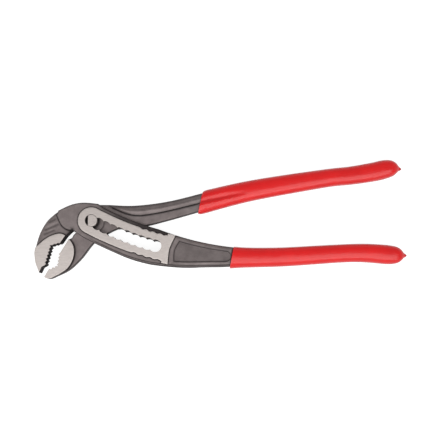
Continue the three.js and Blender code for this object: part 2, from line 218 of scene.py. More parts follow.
def teeth(sides, side, tips):
    """Saw teeth along straight sides, pointing to the left for side 1 and to the right for -1."""
    corners = np.array(sides, float)
    points = []
    for a, b, tip in zip(corners, corners[1:], tips):
        line = b - a
        length = np.hypot(*line)
        out = np.array([-line[1], line[0]]) / length * side
        halves = 2 * max(1, round(length / TOOTH_PITCH))
        points += [a + line * h / halves + out * (tip if h % 2 else -TOOTH_ROOT) for h in range(halves)]
    return np.array([*points, corners[-1]])


def soft_line(depth, place, width, strength=1):
    """A soft line at a depth in from an outline."""
    return strength * np.exp(-(((depth - place) / width) ** 2))


def leg_edge(box_half, shank_half):
    return lambda along: np.interp(along, [SHANK_START, SHANK_END], [box_half, shank_half])


def lower_edge(along):
    bulge, hollow = soft_line(along, *LOWER_BULGE), soft_line(along, *LOWER_HOLLOW)
    return leg_edge(CHEEK_LOWER, SHANK_HALF)(along) + LOWER_SWAY * (bulge - hollow)


upper_edge = leg_edge(-CHEEK_UPPER, -SHANK_HALF)


def across_leg(along, lower, upper):
    """Hollow line across the slotted leg, from its lower side to its upper."""
    middle = arc_point(along - BAR_HOLLOW, 0)
    return spline([arc_point(along, lower), middle, arc_point(along + BAR_LEAN, upper)], 16)


def plate_outline():
    bar_end = SLOT_END + PLATE_BAR
    ear_start = bar_end - EAR_LENGTH
    wave_start = ear_start - PLATE_WAVES * NOTCH_PITCH

    def edge(along):
        phase = 2 * math.pi * max(0, along - wave_start) / NOTCH_PITCH
        return PLATE_HALF_WIDTH - PLATE_WAVE / 2 * (1 - math.cos(phase))

    ear = PLATE_HALF_WIDTH + PLATE_EAR
    bar = across_leg(bar_end, ear, -ear)
    lower = arc_run(0, ear_start, 100, edge)
    upper = arc_run(ear_start, 0, 100, lambda along: -edge(along))
    end = pin_arc(PLATE_HALF_WIDTH, 90 - SLOT_TILT, 270 - SLOT_TILT, 36)[1:-1]
    return join(lower, arc_point(ear_start, ear), bar, arc_point(ear_start, -ear), upper, end)


def room_outline():
    head = pin_arc(HUB_RADIUS + HUB_CLEARANCE, 90 + OPENING, ROOM_TURN, 16)
    opened = math.radians(OPENING - HUB_SLOPE)
    above = head[0] + HUB_RADIUS * np.array([math.cos(opened), math.sin(opened)])
    lower = arc_run(HUB_RADIUS, TRAVEL + NECK_ROOM, 12, lambda _: ROOM_REACH)
    upper = arc_run(TRAVEL + HANDLE_ROOM, HUB_RADIUS, 12, lambda _: -ROOM_REACH)
    return join(head, THROAT, lower, upper, above)


def panel_outline():
    lower = arc_run(PANEL_END, PANEL_START, 20, lambda along: lower_edge(along) - PANEL_RIM)
    upper = arc_run(PANEL_START, PANEL_END, 20, lambda along: upper_edge(along) + PANEL_RIM)
    bulge = [arc_point(PANEL_END + PANEL_ROUND, out) for out in (-PANEL_ROUND_HALF, PANEL_ROUND_HALF)]
    end = spline([upper[-1], *bulge, lower[0]], 12)
    bar = across_leg(PANEL_START, lower_edge(PANEL_START) - PANEL_RIM, upper_edge(PANEL_START) + PANEL_RIM)
    return join(lower, bar[1:], upper[1:], end[1:-1])


def before_lip(line, slant):
    """Large square on the jaws' side of a grip's slanted lip, with the part tucked under the lip."""
    length, half_width = 200, 150
    points = spline(line, 200)
    ahead = points[1] - points[0]
    turn = math.atan2(ahead[1], ahead[0]) - math.radians(slant)
    forward = np.array([math.cos(turn), math.sin(turn)])
    across = half_width * np.array([-forward[1], forward[0]])
    edge = points[0] + TUCK * forward
    far = edge - length * forward
    return np.array([edge - across, edge + across, far + across, far - across])


def refine(loop, step):
    """The closed outline with no stretch longer than step."""
    runs = []
    for a, b in zip(loop, np.roll(loop, -1, 0)):
        parts = max(1, math.ceil(np.hypot(*(b - a)) / step))
        runs.append(a + (b - a) * (np.arange(parts) / parts)[:, None])
    return np.concatenate(runs)


def inside(loop, points):
    """Which points lie inside a closed outline."""
    count = np.zeros(len(points), int)
    for (x0, y0), (x1, y1) in zip(loop, np.roll(loop, -1, 0)):
        if y0 != y1:
            crosses = (y0 > points[:, 1]) != (y1 > points[:, 1])
            count += crosses & (points[:, 0] < (x1 - x0) * (points[:, 1] - y0) / (y1 - y0) + x0)
    return count % 2 == 1


def distance(curve, points):
    """Distance from an open row of points."""
    x, y = points.T
    nearest = np.full(len(points), np.inf)
    for (ax, ay), (bx, by) in zip(curve, curve[1:]):
        dx, dy = bx - ax, by - ay
        t = np.clip(((x - ax) * dx + (y - ay) * dy) / max(dx * dx + dy * dy, 1e-12), 0, 1)
        nearest = np.minimum(nearest, (x - ax - t * dx) ** 2 + (y - ay - t * dy) ** 2)
    return np.sqrt(nearest)


def depth_in(loop, points):
    """Distance in from a closed outline, negative outside it."""
    nearest = distance(np.vstack([loop, loop[:1]]), points)
    return np.where(inside(loop, points), nearest, -nearest)


def step_up(depth, height, round_over):
    """Height of a raised region: a steep wall at its outline and a rounded rim."""
    short = round_over - np.clip(depth, 0, round_over)
    rim = height - round_over + np.sqrt(np.maximum(round_over**2 - short**2, 0))
    return np.where(depth < -WALL / 2, BELOW, rim)


def offset(loop, by):
    """The outline moved out by a small distance."""
    ahead = np.roll(loop, -1, 0) - np.roll(loop, 1, 0)
    normal = np.stack([ahead[:, 1], -ahead[:, 0]], 1) / np.hypot(*ahead.T)[:, None]
    area = np.sum(loop[:, 0] * np.roll(loop[:, 1], -1) - np.roll(loop[:, 0], -1) * loop[:, 1])
    return loop + normal * by * np.sign(area)


def triangulate(loops, spacing):
    """Triangles over the plan of the outlines, with their edges kept and a grid between them."""
    points, edges = [], []
    for loop in loops:
        first = len(points)
        points += [Vector(p) for p in loop]
        edges += [(first + i, first + (i + 1) % len(loop)) for i in range(len(loop))]
    every = np.concatenate(loops)
    low, high = every.min(0), every.max(0)
    rows = np.arange(low[1], high[1], spacing * GRID_ROWS)
    for r, y in enumerate(rows):
        shift = spacing / 2 * (r % 2)
        points += [Vector((x, y)) for x in np.arange(low[0] + shift, high[0], spacing)]
    verts, _, faces, *_ = delaunay_2d_cdt(points, edges, [], 0, 1e-4)
    return np.array([tuple(v) for v in verts]), np.array(faces)


def make_mesh(name, verts, faces, materials, looks, body):
    """A piece of the tool out of points in millimetres about the middle plane."""
    mesh = bpy.data.meshes.new(name)
    mesh.from_pydata((np.array(verts) + [0, 0, MID]) / 1000, [], faces)
    for look in materials:
        mesh.materials.append(look)
    mesh.polygons.foreach_set("material_index", looks)
    mesh.shade_smooth()
    mesh.set_sharp_from_angle(angle=math.radians(SHARP))
    piece = bpy.data.objects.new(name, mesh)
    bpy.context.collection.objects.link(piece)
    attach(piece, body)
    return piece


def paint_shade(piece, values, domain):
    """Keeps the painted shade of each point or face corner, darker in crevices and along edges, for the
    material.
    """
    shade = piece.data.attributes.new("dark", "FLOAT", domain)
    shade.data.foreach_set("value", np.clip(values, 0, 1).astype(np.float32))


def leg_plan(loops, rings, keep):
    """Points and upward triangles over the kept part of a leg's plan, and the triangles' middles."""
    plan, faces = triangulate([*loops.values(), *(offset(loops[key], by) for key, by in rings)], GRID)
    middle = plan[faces].mean(1)
    kept = keep(middle)
    used, faces = np.unique(faces[kept], return_inverse=True)
    plan, faces = plan[used], faces.reshape(-1, 3)
    corner = plan[faces]
    cross = np.cross(corner[:, 1] - corner[:, 0], corner[:, 2] - corner[:, 0])
    return plan, np.where(cross[:, None] > 0, faces, faces[:, ::-1]), middle[kept]


def leg_walls(faces, hollow, count):
    """Walls around the plan and around the room, between layers of count points each."""
    owner = {}
    for f, (a, b, c) in enumerate(faces):
        for edge in ((a, b), (b, c), (c, a)):
            owner[edge] = f
    on_room = set(faces[hollow].ravel().tolist())

    def down(v, high, low):
        """A point's places from layer to layer. The middle layers hold the room's points only."""
        return [v + row * count for row in range(high, low + 1) if row in (high, low) or v in on_room]

    def wall(high, low, a, b):
        return [*down(a, high, low), *down(b, high, low)[::-1]]

    walls = []
    for (a, b), f in owner.items():
        other = owner.get((b, a))
        if other is None and hollow[f]:
            walls += [wall(0, 1, a, b), wall(2, 3, a, b)]
        elif other is None:
            walls.append(wall(0, 3, a, b))
        elif hollow[f] and not hollow[other]:
            walls.append(wall(1, 2, b, a))
    return walls


def forging(name, loops, rings, keep, room, heights, look, dark, wall_shade, body):
    """A forged leg: its plan as triangles, raised to the heights of its two faces, with walls between."""
    plan, faces, middle = leg_plan(loops, rings, keep)
    hollow = room(middle)
    count = len(plan)
    depth = {key: depth_in(loop, plan) for key, loop in loops.items()}
    top, under = heights(plan, depth)
    layers = [top, np.full(count, ROOM_HALF), np.full(count, -ROOM_HALF), -under]
    verts = np.concatenate([np.column_stack([plan, z]) for z in layers])
    cheek = faces[hollow]
    groups = [faces, faces[:, ::-1] + 3 * count, cheek[:, ::-1] + count, cheek + 2 * count]
    walls = leg_walls(faces, hollow, count)
    used = np.unique(np.concatenate([*(group.ravel() for group in groups), *walls]))
    place = np.zeros(len(verts), int)
    place[used] = np.arange(len(used))
    placed = [*(f for group in groups for f in place[group].tolist()), *(place[w].tolist() for w in walls)]
    outer = look(middle).astype(int)
    looks = np.concatenate([outer, outer, np.zeros(2 * len(cheek) + len(walls), int)])
    piece = make_mesh(name, verts[used], placed, [FORGED, GROUND], looks, body)
    # Painted shade for the faces, the room's faces and the walls, kept on the face corners.
    both = dark(plan, depth)
    shades = [*both, *both, wall_shade(plan, depth)]
    corners = [*(group.ravel() % count for group in groups), np.concatenate(walls) % count]
    paint_shade(piece, np.concatenate([shade[at] for shade, at in zip(shades, corners)]), "CORNER")
    return piece


# Materials.
FORGED_TONES = (0.168, 0.141, 0.138, 1), (0.246, 0.208, 0.204, 1)
# Colour of the painted shade on the forged steel.
FORGED_SHADE = (0.012, 0.009, 0.009, 1)
GROUND_TONES = (0.456, 0.411, 0.39, 1), (0.578, 0.525, 0.497, 1)
PVC_TONES = (0.74, 0.003, 0.004, 1), (0.835, 0.005, 0.006, 1)
# Colour of the painted shade on the PVC.
PVC_SHADE = (0.3, 0.004, 0.006, 1)
FLOW_TURN = 30
GRIND_TURN = -62


def material(name):
    made = bpy.data.materials.new(name)
    made.use_nodes = True
    tree = made.node_tree
    shader = tree.nodes["Principled BSDF"]
    return made, tree, shader


def node(tree, kind, inputs=None, **settings):
    made = tree.nodes.new(kind)
    for key, value in settings.items():
        setattr(made, key, value)
    for key, value in (inputs or {}).items():
        if isinstance(value, bpy.types.NodeSocket):
            tree.links.new(value, made.inputs[key])
        else:
            made.inputs[key].default_value = value
    return made


def combine(tree, operation, a, b):
    return node(tree, "ShaderNodeMath", {0: a, 1: b}, operation=operation).outputs[0]


def stretched(tree, turn=0, scale=(1, 1, 1)):
    """Object coordinates turned about Z and stretched."""
    place = node(tree, "ShaderNodeTexCoord").outputs["Object"]
    rotation = (0, 0, math.radians(turn))
    made = node(tree, "ShaderNodeMapping", {"Vector": place, "Rotation": rotation, "Scale": scale})
    return made.outputs["Vector"]


def noise(tree, where, scale, detail, rough=0.55):
    inputs = {"Vector": where, "Scale": scale, "Detail": detail, "Roughness": rough}
    return node(tree, "ShaderNodeTexNoise", inputs).outputs["Fac"]


def spread(tree, value, low, high, start=0.3, end=0.7):
    """Numbers from low to high, spread over a value."""
    inputs = {"Value": value, "From Min": start, "From Max": end, "To Min": low, "To Max": high}
    return node(tree, "ShaderNodeMapRange", inputs).outputs["Result"]


def ramp(tree, value, tones, start=0.3, end=0.7):
    """Colours spread over a value."""
    made = node(tree, "ShaderNodeValToRGB", {"Fac": value})
    for stop, position, tone in zip(made.color_ramp.elements, (start, end), tones):
        stop.position = position
        stop.color = tone
    return made.outputs["Color"]


def shaded(tree, colour, darkest):
    """The colour, darkened by the painted shade kept on the piece, and that shade."""
    shade = node(tree, "ShaderNodeAttribute", attribute_name="dark").outputs["Fac"]
    mix = node(tree, "ShaderNodeMix", {"Factor": shade, "A": colour, "B": darkest}, data_type="RGBA")
    return mix.outputs["Result"], shade


def bump(tree, height, strength, reach, under=None):
    inputs = {"Height": height, "Strength": strength, "Distance": reach}
    if under is not None:
        inputs["Normal"] = under
    return node(tree, "ShaderNodeBump", inputs).outputs["Normal"]


def forged_steel():
    made, tree, shader = material("forged_steel")
    place = stretched(tree)
    flow = stretched(tree, FLOW_TURN, (60, 420, 200))
    tone = noise(tree, place, scale=160, detail=5)
    colour, shade = shaded(tree, ramp(tree, tone, FORGED_TONES), FORGED_SHADE)
    tree.links.new(colour, shader.inputs["Base Color"])
    shader.inputs["Specular IOR Level"].default_value = 0.25
    # Under the painted shade the steel loses its metal look and turns rough, so it stays dark.
    tree.links.new(spread(tree, shade, 0.5, 0, start=0, end=1), shader.inputs["Metallic"])
    dull = spread(tree, noise(tree, place, scale=900, detail=3), 0.42, 0.58)
    tree.links.new(combine(tree, "MAXIMUM", dull, shade), shader.inputs["Roughness"])
    grit = noise(tree, place, scale=1400, detail=4, rough=0.6)
    fine = bump(tree, grit, strength=0.25, reach=0.0002)
    coarse = bump(tree, noise(tree, flow, scale=6, detail=3), strength=0.18, reach=0.0004, under=fine)
    tree.links.new(coarse, shader.inputs["Normal"])
    return made


def ground_steel():
    made, tree, shader = material("ground_steel")
    place = stretched(tree)
    lines = noise(tree, stretched(tree, GRIND_TURN, (250, 5200, 1000)), scale=1, detail=3)
    tree.links.new(ramp(tree, lines, GROUND_TONES), shader.inputs["Base Color"])
    shader.inputs["Metallic"].default_value = 0.8
    rough = spread(tree, noise(tree, place, scale=500, detail=3), 0.34, 0.46)
    tree.links.new(rough, shader.inputs["Roughness"])
    tree.links.new(bump(tree, lines, strength=0.3, reach=0.00006), shader.inputs["Normal"])
    return made


def dipped_pvc():
    made, tree, shader = material("dipped_pvc")
    place = stretched(tree)
    tone = noise(tree, place, scale=70, detail=3)
    colour, _ = shaded(tree, ramp(tree, tone, PVC_TONES), PVC_SHADE)
    tree.links.new(colour, shader.inputs["Base Color"])
    rough = spread(tree, noise(tree, place, scale=600, detail=3), 0.2, 0.26)
    tree.links.new(rough, shader.inputs["Roughness"])
    shader.inputs["Specular IOR Level"].default_value = 0.55
    shader.inputs["Sheen Weight"].default_value = 0.12
    shader.inputs["Sheen Roughness"].default_value = 0.4
    shader.inputs["Subsurface Weight"].default_value = 0.06
    shader.inputs["Subsurface Radius"].default_value = (0.002, 0.0004, 0.0004)
    shader.inputs["Subsurface Scale"].default_value = 1.0
    peel = bump(tree, noise(tree, place, scale=1100, detail=3), strength=0.08, reach=0.0002)
    waves = bump(tree, noise(tree, place, scale=200, detail=2), strength=0.22, reach=0.0006, under=peel)
    tree.links.new(waves, shader.inputs["Normal"])
    return made


FORGED = forged_steel()
GROUND = ground_steel()
DIPPED = dipped_pvc()

# Painted shade on the forgings, as dark lines in crevices, at the feet of steps and along edges: how far in
# from an outline or off a line they lie, their width and strength.
WALL_SHADE = 0.6  # painted shade on the legs' side walls
TOOTH_WALL = (0, 1.6)
TIP_WALL = (0, 1.6, 0.85)
BORE_EDGE = (0, 0.3, 0.9)
BOX_FOOT = (-0.1, 0.6)
BOX_CREASE = (1.1, 0.35, 0.9)
CREASE_START = 4  # the painted shade line along the crease on the box's lower side comes in from here, over a length
CREASE_FADE = 6
HEAD_EDGE = (0.2, 0.5, 0.9)
HEAD_SIDE = -5  # the painted shade on the head's edge reaches down to this distance below the slot
BOX_NEAR = 0.1  # depths up to which a point counts as outside the box and the neck
NECK_NEAR = 0.3
PAD_MARGIN = 0.5  # a pad's foot gets painted shade only from this far in from the forging's edge
PLATE_FOOT = (-0.25, 0.5)
# painted shadow in the throat
THROAT_SPOT = (0, 1.4)
NECK_EDGE = (0, 0.5, 0.8)
# painted shade in the neck's flow-line grooves
FLOW_SHADE = 0.55
HOOK_PAD_FOOT = (-0.35, 0.6)
HOOK_BITE = (0, 0.5)
HOOK_ROOT_EDGE = (0, 1.1)
# painted shadow on the shank at the lower grip's lip
LOWER_LIP_LINE = (TUCK + 0.1, 0.6, 0.8)
# painted shade along the panel's rim; the panel is also darkened all over
PANEL_EDGE = (-0.1, 0.4, 0.9)
PANEL_DARK = 0.26
UPPER_CHEEK = [-4, 6, 16, 34]  # places along the slot, and how much painted shadow of the plate darkens the upper cheek's edge there
UPPER_CHEEK_SHADOW = [0, 0.5, 0.7, 0.85]
UPPER_CHEEK_IN = 1  # how far that edge runs in under the plate's side, and on past the slot's end
UPPER_CHEEK_PAST = 2
LEG_RIM_LINE = (0, 0.55, 0.9)
RIDGE_FOOT = (0.25, 0.55)
RIDGE_CREST = (0, 0.3)
RIB_TOP = (0, 1.2, 0.6)
RIB_FLAT = [2, 2.6]  # depths between which painted shade darkens the rib's upper flank
RIB_SHADE = 0.32
JAW_BITE = (0, 0.4)
JAW_PAD_FOOT = (-0.4, 0.7)
# painted shadow on the handle at the upper grip's lip
UPPER_LIP_LINE = (TUCK + 0.1, 0.5, 0.5)
HUB_GROOVE = (8.4, 0.4, 0.25)  # sunk lines around the hub and below the rib
RIB_GROOVE = (0, 0.6, 0.4)
HUB_LINE = (8.4, 0.35, 0.7)
BORE_REACH = [4.8, 6.4]  # the painted shade around the bore fades out between these radii
BORE_SHADE = 0.95

# Slotted leg.
lower_side = arc_run(0, SHANK_END, 60, lower_edge)
upper_side = arc_run(SHANK_END, NOTCH_RADIUS, 60, upper_edge)
head = spline(HEAD_TOP, 24), spline(HEAD_STEP, 16)
hook_teeth = teeth(HOOK_TEETH, 1, (LOW_TOOTH_TIP, TOOTH_TIP))
slotted = {
    "box": refine(join(lower_side, upper_side, *head, THROAT), EDGE_STEP),
    "neck": refine(join(spline([*HEAD_TOP[1:], *HOOK_BACK], 64), NECK_FRONT), EDGE_STEP),
    "pad": refine(join(spline(HOOK_PAD, 28), spline(HOOK_BACK[4:], 16), PAD_FRONT), FINE_STEP),
    "plate": refine(plate_outline(), FINE_STEP),
    "panel": refine(panel_outline(), FINE_STEP),
    "bite": join(HOOK_ROOT, hook_teeth, HOOK_TIP, HOOK_GAP),
    "room": refine(room_outline(), ROOM_STEP),
    "lip": before_lip(LOWER_GRIP_LINE, LOWER_LIP_SLANT),
}
notches = {f"notch {n}": circle(NOTCH_RADIUS, arc_point(n * NOTCH_PITCH, 0)) for n in range(NOTCHES)}


def slotted_keep(points):
    body = inside(slotted["box"], points) & inside(slotted["lip"], points)
    for key in ("neck", "pad", "plate"):
        body |= inside(slotted[key], points)
    for hole in (slotted["bite"], *notches.values()):
        body &= ~inside(hole, points)
    return body


def slotted_room(points):
    return inside(slotted["room"], points)


def flow_lines(points):
    return np.max([soft_line(distance(line, points), 0, FLOW_WIDTH) for line in FLOW], 0)


def slotted_heights(points, depth):
    """Heights of the upper side, with the panel, and of the underside."""
    start, end = arc_point(SLOT_END + PLATE_BAR, 0)[0], arc_point(SHANK_END, 0)[0]
    thick = np.interp(points[:, 0], [start, end], [CHEEK_HEIGHT, SHANK_HEIGHT])
    rounding = np.interp(points[:, 0], start + RIM_CHANGE, [BOX_RIM, SHANK_RIM])
    neck = step_up(depth["neck"], NECK_HEIGHT, NECK_RIM) - FLOW_SINK * flow_lines(points)
    height = np.maximum(step_up(depth["box"], thick, rounding), neck)
    height = np.maximum(height, step_up(depth["pad"], PAD_HEIGHT, GROUND_RIM))
    under = np.maximum(height, step_up(depth["plate"], PLATE_HEIGHT, GROUND_RIM))
    sunk = np.clip(depth["panel"] / PANEL_SLOPE, 0, 1)
    return under - PANEL_SINK * sunk**2 * (3 - 2 * sunk), under


def slotted_shade(points, depth):
    """Painted shade on the upper side, with the panel's rim and the panel darkened, and on the underside."""
    out = SLOT_RADIUS - np.hypot(*(points - SLOT_CENTRE).T)
    along = points @ [math.cos(TILT), -math.sin(TILT)]
    # Where the plate's painted shadow falls on the upper cheek.
    over = (out > PLATE_HALF_WIDTH - UPPER_CHEEK_IN) & (along < SLOT_END + UPPER_CHEEK_PAST)
    crease = np.clip((along - CREASE_START) / CREASE_FADE, 0, 1)
    on_neck = depth["box"] < BOX_NEAR
    on_head = (depth["neck"] < NECK_NEAR) * (out > HEAD_SIDE)
    root = distance([*HOOK_ROOT, HOOK_TEETH[0]], points)
    both = np.max([
        soft_line(depth["box"], *BOX_FOOT),
        soft_line(depth["box"], *BOX_CREASE) * (out < 0) * crease,
        soft_line(depth["box"], *HEAD_EDGE) * on_head,
        soft_line(depth["plate"], *PLATE_FOOT),
        soft_line(np.hypot(*(points - THROAT).T), *THROAT_SPOT),
        soft_line(depth["lip"], *LOWER_LIP_LINE),
        soft_line(depth["neck"], *NECK_EDGE) * on_neck,
        soft_line(depth["pad"], *HOOK_PAD_FOOT) * (depth["neck"] > PAD_MARGIN),
        FLOW_SHADE * on_neck * flow_lines(points),
        soft_line(depth["bite"], *HOOK_BITE),
        soft_line(root, *HOOK_ROOT_EDGE),
        over * np.interp(along, UPPER_CHEEK, UPPER_CHEEK_SHADOW),
        *(soft_line(depth[key], *BORE_EDGE) for key in notches),
    ], 0)
    top = np.max([both, soft_line(depth["panel"], *PANEL_EDGE), PANEL_DARK * (depth["panel"] > 0)], 0)
    return top, both


# Painted shade on the side walls, darkest in the bite and at the notches.
def slotted_wall_shade(points, depth):
    return np.max([
        np.full(len(points), WALL_SHADE),
        soft_line(distance([*HOOK_ROOT, *HOOK_TEETH], points), *TOOTH_WALL),
        soft_line(distance(HOOK_TIP, points), *TIP_WALL),
        *(soft_line(depth[key], *BORE_EDGE) for key in notches),
    ], 0)


def slotted_look(points):
    """Which parts are ground: the plate, and the pad up to the dark edge of its teeth."""
    pad = inside(slotted["pad"], points) & ~inside(offset(slotted["bite"], TOOTH_RIM), points)
    return inside(slotted["plate"], points) | pad


# Further outlines that carry the mesh's edges, by how far out they lie.
slotted_rings = [
    ("bite", TOOTH_RIM), ("box", WALL), ("box", -0.4), ("box", -1.1), ("neck", -0.5), ("neck", -1.2),
    ("pad", WALL), ("pad", 0.7), ("plate", WALL), ("plate", 0.6), ("panel", 0.4), ("panel", -0.25),
    ("panel", -0.5),
]
slotted_leg = forging(
    "slotted_leg_forging", slotted | notches, slotted_rings, slotted_keep, slotted_room,
    slotted_heights, slotted_look, slotted_shade, slotted_wall_shade, "slotted_leg",
)
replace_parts(slotted_leg, "slotted_leg")

# Inner leg.
ridge = spline(RIDGE, 40)
rib_edge = spline([(x, y - RIB_INSET) for x, y in HANDLE_TOP], 32)
hub = pin_arc(HUB_RADIUS, 90 - 3 * HUB_SLOPE, HUB_TURN, 28)
jaw_teeth = teeth(JAW_TEETH, -1, (TOOTH_TIP, TOOTH_TIP))
handle_under = spline([*JAW_BACK, *HANDLE_UNDER], 96)
inner = {
    "leg": refine(join(handle_under, spline(HANDLE_TOP, 32), hub, JAW_FRONT), EDGE_STEP),
    "rib": refine(join(ridge, rib_edge), RIB_STEP),
    "pad": refine(join(spline(JAW_PAD, 40), JAW_FRONT[::-1]), FINE_STEP),
    "bite": join(JAW_ROOT, jaw_teeth, JAW_TIP, JAW_GAP),
    "bore": circle(NOTCH_RADIUS, (0, 0)),
    "lip": before_lip(UPPER_GRIP_LINE, UPPER_LIP_SLANT),
}


def inner_keep(points):
    body = (inside(inner["leg"], points) | inside(inner["rib"], points)) & inside(inner["lip"], points)
    body |= inside(inner["pad"], points)
    return body & ~inside(inner["bite"], points) & ~inside(inner["bore"], points)


def inner_room(points):
    return np.zeros(len(points), bool)


def inner_heights(points, depth):
    """The handle's rib is steep on the side of the flat, and falls away to the upper edge."""
    below, above = distance(ridge, points), distance(rib_edge, points)
    share = below / (below + above + 1e-6)
    span = 1 - RIB_FOOT
    flank = RIB_FOOT + span * np.minimum(share / RIB_CROWN, 1) ** RIB_STEEP
    fall = 1 - span * np.clip((share - RIB_CROWN) / (1 - RIB_CROWN), 0, 1) ** RIB_FALL
    crown = LEG_HEIGHT + (RIB_HEIGHT - LEG_HEIGHT) * np.where(share < RIB_CROWN, flank, fall)
    height = step_up(depth["leg"], LEG_HEIGHT, LEG_RIM)
    height -= soft_line(depth["rib"], *RIB_GROOVE) * (depth["rib"] < 0)
    height -= soft_line(np.hypot(*points.T), *HUB_GROOVE)
    height = np.maximum(height, np.where(depth["rib"] < -WALL / 2, BELOW, crown))
    height = np.maximum(height, step_up(depth["pad"], PAD_HEIGHT, GROUND_RIM))
    return height, height


def inner_shade(points, depth):
    """Painted shade on the two sides, along edges, ridge, bite, lip and hub, and around the bore."""
    reach = np.hypot(*points.T)
    below, above = distance(ridge, points), distance(rib_edge, points)
    both = np.max([
        soft_line(depth["leg"], *LEG_RIM_LINE) * (depth["pad"] < 0),
        np.where(depth["rib"] < 0, soft_line(below, *RIDGE_FOOT), soft_line(below, *RIDGE_CREST)),
        soft_line(above, *RIB_TOP),
        np.interp(depth["rib"], RIB_FLAT, [0, RIB_SHADE]) * (above < below),
        soft_line(depth["bite"], *JAW_BITE),
        soft_line(depth["pad"], *JAW_PAD_FOOT) * (depth["leg"] > PAD_MARGIN),
        soft_line(depth["lip"], *UPPER_LIP_LINE),
        soft_line(reach, *HUB_LINE),
        np.interp(reach, BORE_REACH, [BORE_SHADE, 0]),
    ], 0)
    return both, both


# Painted shade on the side walls, darkest in the bite and at the bore.
def inner_wall_shade(points, depth):
    return np.max([
        np.full(len(points), WALL_SHADE),
        soft_line(distance([JAW_ROOT[-1], *JAW_TEETH], points), *TOOTH_WALL),
        soft_line(depth["bore"], *BORE_EDGE),
    ], 0)


def inner_look(points):
    return inside(inner["pad"], points)


inner_rings = [
    ("leg", -0.3), ("leg", -0.9), ("rib", WALL), ("rib", 0.6), ("rib", -0.4), ("rib", -1), ("pad", WALL),
    ("pad", 0.7),
]
inner_leg = forging(
    "inner_leg_forging", inner, inner_rings, inner_keep, inner_room,
    inner_heights, inner_look, inner_shade, inner_wall_shade, "inner_leg",
)
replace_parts(inner_leg, "inner_leg")


def tube_faces(rows, sides):
    """Faces of a tube with closed ends, out of rows of points around it."""
    faces = []
    for first in range(0, (rows - 1) * sides, sides):
        for i in range(sides):
            j = (i + 1) % sides
            faces.append([first + i, first + j, first + sides + j, first + sides + i])
    return [*faces, list(range(sides))[::-1], [(rows - 1) * sides + i for i in range(sides)]]


# Joint pin: a flush, ground end with a flat on the jaws' side.
def joint_pin():
    start = math.degrees(math.acos(-PIN_FLAT / PIN_RADIUS))
    flat = pin_arc(PIN_RADIUS, -start, start, 64)
    shoulder = PLATE_HEIGHT - PIN_CHAMFER_HEIGHT
    rings = [(PIN_CHAMFER, -PLATE_HEIGHT), (0, -shoulder), (0, shoulder), (PIN_CHAMFER, PLATE_HEIGHT)]
    rows = [np.column_stack([offset(flat, -inset), np.full(len(flat), z)]) for inset, z in rings]
    faces = tube_faces(len(rings), len(flat))
    looks = np.zeros(len(faces), int)
    return make_mesh("flush_pin", np.concatenate(rows), faces, [GROUND], looks, "joint_pin")


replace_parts(joint_pin(), "joint_pin")

# Dipped grips.
GRIP_SIDES = 72
WIDTH_STEPS = 200
SWELL_LENGTH = 6  # the lip's swelling dies away over this length
SWELL_RISE = 0.4  # share of the swelling that shows in the thickness
SLANT_LENGTH = 12  # the lip's slant dies away over this length
LIP_INSETS = (1.2, 0.5)  # rings that close the lip
FOLD_PLACE = 0.1  # the fold's place across the grip at the lip, and its drift along the grip
FOLD_DRIFT = 0.045
FOLD_END = 34  # the fold ends here, after fading over a length
FOLD_FADE = 20
FOLD_DEPTH = 0.8
FOLD_UPPER = (0, 2.4)
FOLD_LOWER = (0, 1)
# The fold's line is painted shade.
FOLD_LINE = (-0.3, 0.9)
FOLD_SHADE = 0.4
LIP_LENGTH = 4  # length of the lip with close rings, where the other rings start, and their numbers
BODY_START = 5
LIP_RINGS = 12
BODY_RINGS = 110
END_RINGS = 44
LIP_EDGE = 0.2  # the lip's first stretch is dark
LIP_DARK = 0.3
NIB_DARK = 0.6
# Painted shade along the grip's sides, where they turn away.
SIDE_SHADE = 0.2
SIDE_POWER = 8


def squared(v):
    return np.sign(v) * np.abs(v) ** (2 / GRIP_SQUARE)


